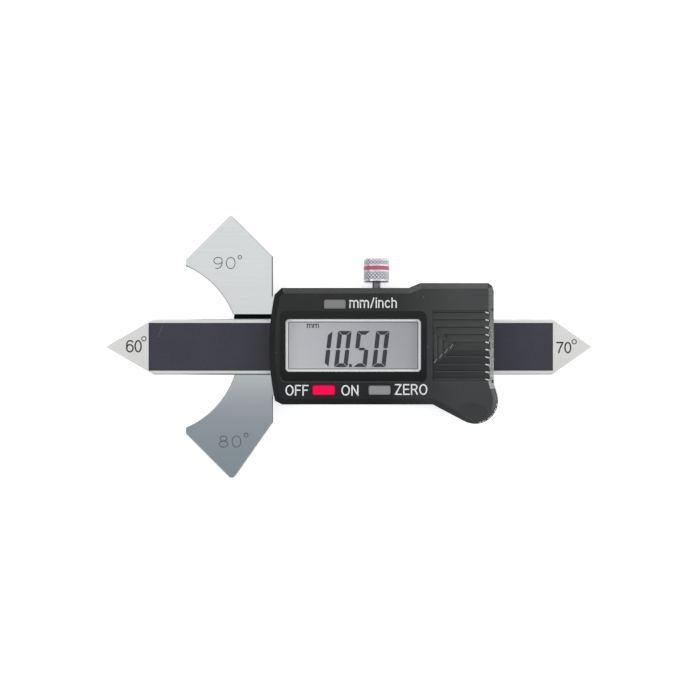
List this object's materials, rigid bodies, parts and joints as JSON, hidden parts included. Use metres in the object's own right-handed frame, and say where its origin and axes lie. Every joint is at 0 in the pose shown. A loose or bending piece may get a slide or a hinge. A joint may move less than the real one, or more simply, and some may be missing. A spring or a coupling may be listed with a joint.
{
  "type": "weld gauge",
  "caption": "Digital weld gauge: a pointed steel beam slides through a slider with angled seating arms, readout housing, lock screw and battery cover.",
  "frame": {"origin": "on the beam's axis at mid-length of the beam at rest, on the back face of the slider frame", "axes": "+X along the beam to its 70 degree point, +Y to the lock screw, +Z out of the display"},
  "size_m": [0.139, 0.0748, 0.015],
  "materials": {
    "arm_steel": "fine ground, satin",
    "ground_steel": "fine ground, satin",
    "blued_steel": "blued spring steel",
    "screw_steel": "turned and zinc plated",
    "knurled_steel": "turned and diamond knurled",
    "red_ring": "moulded gloss",
    "board_laminate": "glass fibre laminate with solder mask",
    "scale_film": "satin printed film",
    "black_resin": "cast resin",
    "connector_rubber": "silicone",
    "lcd_glass": "glass with a diffuse polariser",
    "pale_plastic": "moulded",
    "lens": "clear polished acrylic",
    "black_housing": "fine moulded grain",
    "black_cover": "fine moulded grain",
    "grey_button": "moulded satin",
    "red_button": "moulded satin",
    "contact_bronze": "stamped spring bronze",
    "cell_can": "nickel plated"
  },
  "bodies": {
    "slider": {"slider_frame": "arm_steel", "gib_strip": "blued_steel", "gib_screws": "screw_steel", "circuit_board": "board_laminate", "controller_blob": "black_resin", "switch_domes": "screw_steel", "connector_strips": "connector_rubber", "lcd_panel": "lcd_glass", "lcd_frame": "pale_plastic", "display_lens": "lens", "housing": "black_housing", "board_screws": "screw_steel", "housing_screws": "screw_steel", "cell_contact_minus": "contact_bronze", "cell_contact_plus": "contact_bronze", "button_cell": "cell_can"},
    "beam": {"beam": "ground_steel", "scale_board": "board_laminate", "scale_film": "scale_film"},
    "lock_screw": {"lock_screw": "knurled_steel", "lock_ring": "red_ring"},
    "unit_button": {"unit_button": "grey_button"},
    "power_button": {"power_button": "red_button"},
    "zero_button": {"zero_button": "grey_button"},
    "battery_cover": {"battery_cover": "black_cover"}
  },
  "joints": [
    {"name": "beam_slide", "type": "slide", "parent": "slider", "child": "beam", "axis": [1, 0, 0], "range_m": [-0.016, 0.03]},
    {"name": "lock_screw_turn", "type": "hinge", "parent": "slider", "child": "lock_screw", "pos_m": [0.008, 0.022, 0.0041], "axis": [0, 1, 0], "range_deg": [0, 720]},
    {"name": "unit_button_press", "type": "slide", "parent": "slider", "child": "unit_button", "axis": [0, 0, -1], "range_m": [0, 0.0005], "stiffness_N_per_m": 1500},
    {"name": "power_button_press", "type": "slide", "parent": "slider", "child": "power_button", "axis": [0, 0, -1], "range_m": [0, 0.0005], "stiffness_N_per_m": 1500},
    {"name": "zero_button_press", "type": "slide", "parent": "slider", "child": "zero_button", "axis": [0, 0, -1], "range_m": [0, 0.0005], "stiffness_N_per_m": 1500},
    {"name": "battery_cover_slide", "type": "slide", "parent": "slider", "child": "battery_cover", "axis": [1, 0, 0], "range_m": [0, 0.0185]}
  ]
}
